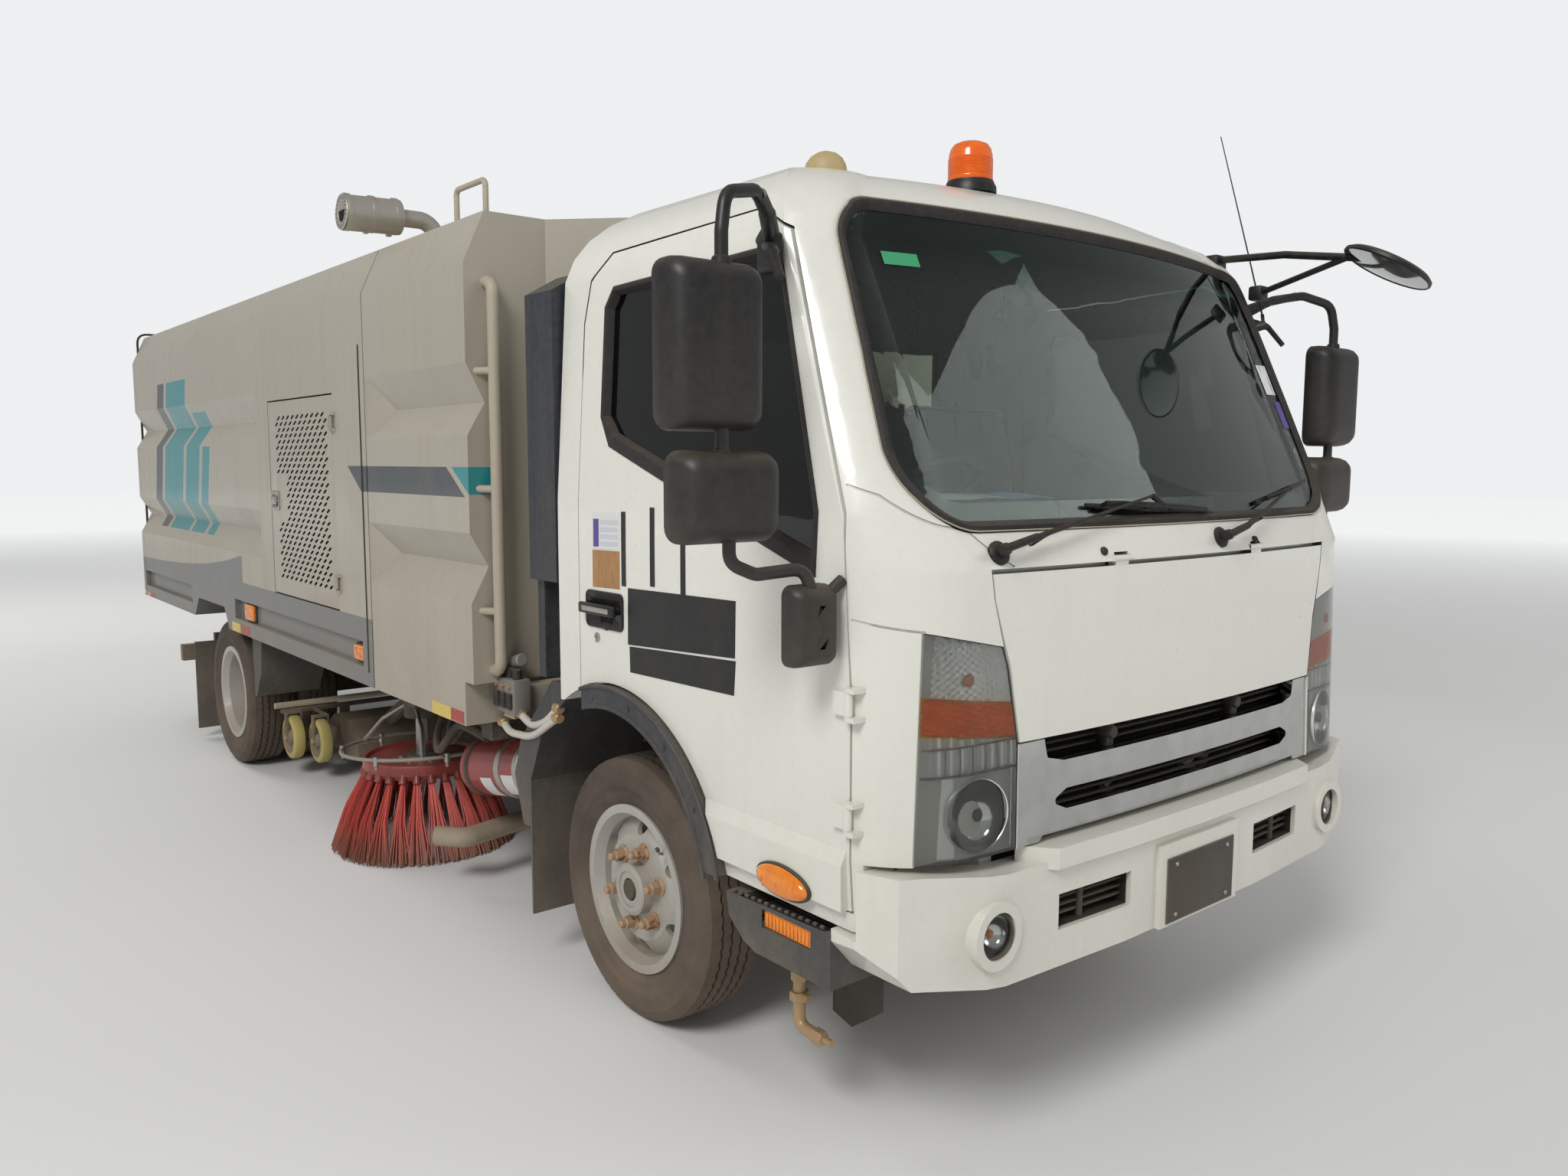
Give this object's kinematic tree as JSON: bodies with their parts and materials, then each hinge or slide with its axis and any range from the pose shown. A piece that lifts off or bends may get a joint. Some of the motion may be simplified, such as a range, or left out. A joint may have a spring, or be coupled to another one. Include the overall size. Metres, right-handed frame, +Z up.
{
  "type": "street sweeper truck",
  "caption": "Forward-control street sweeper truck with a tilting cab, water tank, tipping hopper body, side brushes and a suction nozzle between the axles.",
  "frame": {"origin": "on the floor under the middle of the whole vehicle", "axes": "+X forward, +Y to the vehicle's left, +Z up"},
  "size_m": [6.8219, 2.742, 2.618],
  "materials": {
    "cab_paint": "cream white gloss paint with light road dust",
    "body_paint": "stone beige paint with slate grey and teal bands and dirt runs",
    "chassis_paint": "black chassis paint under brown road dust",
    "engine_metal": "grey cast metal, oily",
    "tyre_rubber": "dusty black rubber",
    "rim_silver": "silver paint, dusty, with rusty nuts",
    "window_glass": "clear glass with a faint green tint",
    "lamp_glass": "clear lamp lens over a bright reflector",
    "chrome_trim": "bright chrome bars",
    "black_plastic": "grained black plastic",
    "seat_cloth": "grey woven cloth",
    "bristle_red": "dusty red bristles",
    "castor_yellow": "worn yellow paint",
    "muffler_steel": "weathered steel with rust",
    "piston_steel": "bright hard chrome",
    "cylinder_paint": "dark grey paint",
    "reservoir_red": "red paint, dusty",
    "ladder_paint": "grey beige painted tube"
  },
  "bodies": {
    "chassis": {"frame_rails": "chassis_paint", "cross_members": "chassis_paint", "front_axle": "chassis_paint", "leaf_springs": "chassis_paint", "rear_axle": "chassis_paint", "drive_shaft": "chassis_paint", "truck_engine": "engine_metal", "fuel_tank": "chassis_paint", "rear_bumper": "chassis_paint", "mudguards": "black_plastic", "water_tank": "body_paint", "ladder": "ladder_paint", "auxiliary_engine": "engine_metal", "air_intake": "black_plastic", "red_reservoir": "reservoir_red", "pipework": "ladder_paint", "sweeper_brackets": "chassis_paint"},
    "cab": {"cab_shell": "cab_paint", "cab_glass": "window_glass", "grille": "chrome_trim", "headlamps": "lamp_glass", "front_bumper": "cab_paint", "steps_and_arch_trims": "black_plastic", "seats": "seat_cloth", "dashboard": "black_plastic", "roof_fittings": "black_plastic"},
    "right_door": {"door_right": "cab_paint", "door_glass_right": "window_glass", "mirrors_right": "black_plastic"},
    "left_door": {"door_left": "cab_paint", "door_glass_left": "window_glass", "mirrors_left": "black_plastic"},
    "flap": {"front_flap": "cab_paint"},
    "steering": {"steering_wheel": "black_plastic"},
    "right_knuckle": {"steering_knuckle_right": "chassis_paint"},
    "left_knuckle": {"steering_knuckle_left": "chassis_paint"},
    "front_right_wheel": {"front_tyre_right": "tyre_rubber", "front_rim_right": "rim_silver"},
    "front_left_wheel": {"front_tyre_left": "tyre_rubber", "front_rim_left": "rim_silver"},
    "rear_right_wheels": {"rear_tyres_right": "tyre_rubber", "rear_rims_right": "rim_silver"},
    "rear_left_wheels": {"rear_tyres_left": "tyre_rubber", "rear_rims_left": "rim_silver"},
    "hopper": {"hopper_shell": "body_paint", "hopper_brackets": "chassis_paint", "exhaust_muffler": "muffler_steel"},
    "hopper_rear_door": {"rear_door": "body_paint"},
    "right_engine_door": {"engine_door_right": "body_paint"},
    "left_engine_door": {"engine_door_left": "body_paint"},
    "right_brush_arm": {"brush_arm_right": "chassis_paint"},
    "left_brush_arm": {"brush_arm_left": "chassis_paint"},
    "right_brush": {"brush_right": "bristle_red"},
    "left_brush": {"brush_left": "bristle_red"},
    "nozzle": {"suction_nozzle": "chassis_paint", "suction_hose": "chassis_paint"},
    "front_castors": {"nozzle_wheels_front": "castor_yellow"},
    "rear_castors": {"nozzle_wheels_rear": "castor_yellow"},
    "tipping_barrel": {"tipping_cylinder_barrel": "cylinder_paint"},
    "tipping_rod": {"tipping_cylinder_rod": "piston_steel"}
  },
  "joints": [
    {"name": "cab_tilt", "type": "hinge", "parent": "chassis", "child": "cab", "pos_m": [3.09, 0, 0.585], "axis": [0, 1, 0], "range_deg": [0, 45]},
    {"name": "right_door_swing", "type": "hinge", "parent": "cab", "child": "right_door", "pos_m": [3.064, -0.995, 1], "axis": [0, 0, 1], "range_deg": [0, 70]},
    {"name": "left_door_swing", "type": "hinge", "parent": "cab", "child": "left_door", "pos_m": [3.064, 0.995, 1], "axis": [0, 0, -1], "range_deg": [0, 70]},
    {"name": "front_flap_lift", "type": "hinge", "parent": "cab", "child": "flap", "pos_m": [3.23, 0, 1.368], "axis": [0, -1, 0], "range_deg": [0, 80]},
    {"name": "steer_right", "type": "hinge", "parent": "chassis", "child": "right_knuckle", "pos_m": [2.05, -0.64, 0.3565], "axis": [0, 0, 1], "range_deg": [-33, 33]},
    {"name": "steer_left", "type": "hinge", "parent": "chassis", "child": "left_knuckle", "pos_m": [2.05, 0.64, 0.3565], "axis": [0, 0, 1], "range_deg": [-33, 33]},
    {"name": "steering_wheel_turn", "type": "hinge", "parent": "cab", "child": "steering", "pos_m": [2.784, -0.48, 1.397], "axis": [-0.8, 0, 0.6], "range_deg": [-410, 410]},
    {"name": "front_right_spin", "type": "hinge", "parent": "right_knuckle", "child": "front_right_wheel", "pos_m": [2.05, -0.795, 0.3765], "axis": [0, 1, 0], "continuous": true},
    {"name": "front_left_spin", "type": "hinge", "parent": "left_knuckle", "child": "front_left_wheel", "pos_m": [2.05, 0.795, 0.3765], "axis": [0, 1, 0], "continuous": true},
    {"name": "rear_right_spin", "type": "hinge", "parent": "chassis", "child": "rear_right_wheels", "pos_m": [-1.7, -0.78, 0.3765], "axis": [0, 1, 0], "continuous": true},
    {"name": "rear_left_spin", "type": "hinge", "parent": "chassis", "child": "rear_left_wheels", "pos_m": [-1.7, 0.78, 0.3765], "axis": [0, 1, 0], "continuous": true},
    {"name": "hopper_tip", "type": "hinge", "parent": "chassis", "child": "hopper", "pos_m": [-3.01, 0, 0.715], "axis": [0, -1, 0], "range_deg": [0, 50]},
    {"name": "rear_door_lift", "type": "hinge", "parent": "hopper", "child": "hopper_rear_door", "pos_m": [-3.333, 0, 2.375], "axis": [0, 1, 0], "range_deg": [0, 90]},
    {"name": "right_engine_door_swing", "type": "hinge", "parent": "hopper", "child": "right_engine_door", "pos_m": [0.21, -1.0655, 1.42], "axis": [0, 0, 1], "range_deg": [0, 110]},
    {"name": "left_engine_door_swing", "type": "hinge", "parent": "hopper", "child": "left_engine_door", "pos_m": [0.21, 1.0655, 1.42], "axis": [0, 0, -1], "range_deg": [0, 110]},
    {"name": "right_brush_swing", "type": "hinge", "parent": "chassis", "child": "right_brush_arm", "pos_m": [0.57, -0.47, 0.59], "axis": [0, 0, 1], "range_deg": [0, 30]},
    {"name": "left_brush_swing", "type": "hinge", "parent": "chassis", "child": "left_brush_arm", "pos_m": [0.57, 0.47, 0.59], "axis": [0, 0, -1], "range_deg": [0, 30]},
    {"name": "right_brush_spin", "type": "hinge", "parent": "right_brush_arm", "child": "right_brush", "pos_m": [0.15, -0.72, 0.372], "axis": [0, 0, 1], "continuous": true},
    {"name": "left_brush_spin", "type": "hinge", "parent": "left_brush_arm", "child": "left_brush", "pos_m": [0.15, 0.72, 0.372], "axis": [0, 0, 1], "continuous": true},
    {"name": "nozzle_lower", "type": "hinge", "parent": "chassis", "child": "nozzle", "pos_m": [-0.51, 0, 0.52], "axis": [0, -1, 0], "range_deg": [0, 7.3]},
    {"name": "front_castor_spin", "type": "hinge", "parent": "nozzle", "child": "front_castors", "pos_m": [-1.035, 0, 0.205], "axis": [0, 1, 0], "continuous": true},
    {"name": "rear_castor_spin", "type": "hinge", "parent": "nozzle", "child": "rear_castors", "pos_m": [-1.205, 0, 0.205], "axis": [0, 1, 0], "continuous": true},
    {"name": "cylinder_swing", "type": "hinge", "parent": "chassis", "child": "tipping_barrel", "pos_m": [-2.51, 0, 0.6], "axis": [0, -1, 0], "range_deg": [0, 59.94]},
    {"name": "rod_slide", "type": "slide", "parent": "tipping_barrel", "child": "tipping_rod", "axis": [0.998, 0, 0.064], "range_m": [0, 0.3164]}
  ],
  "couplings": [
    {"joint": "steer_left", "follows": "steer_right", "ratio": 1},
    {"joint": "steering_wheel_turn", "follows": "steer_right", "ratio": 12},
    {"joint": "cylinder_swing", "follows": "hopper_tip", "ratio": 1.1986},
    {"joint": "rod_slide", "follows": "hopper_tip", "m_per_rad": 0.36234}
  ]
}
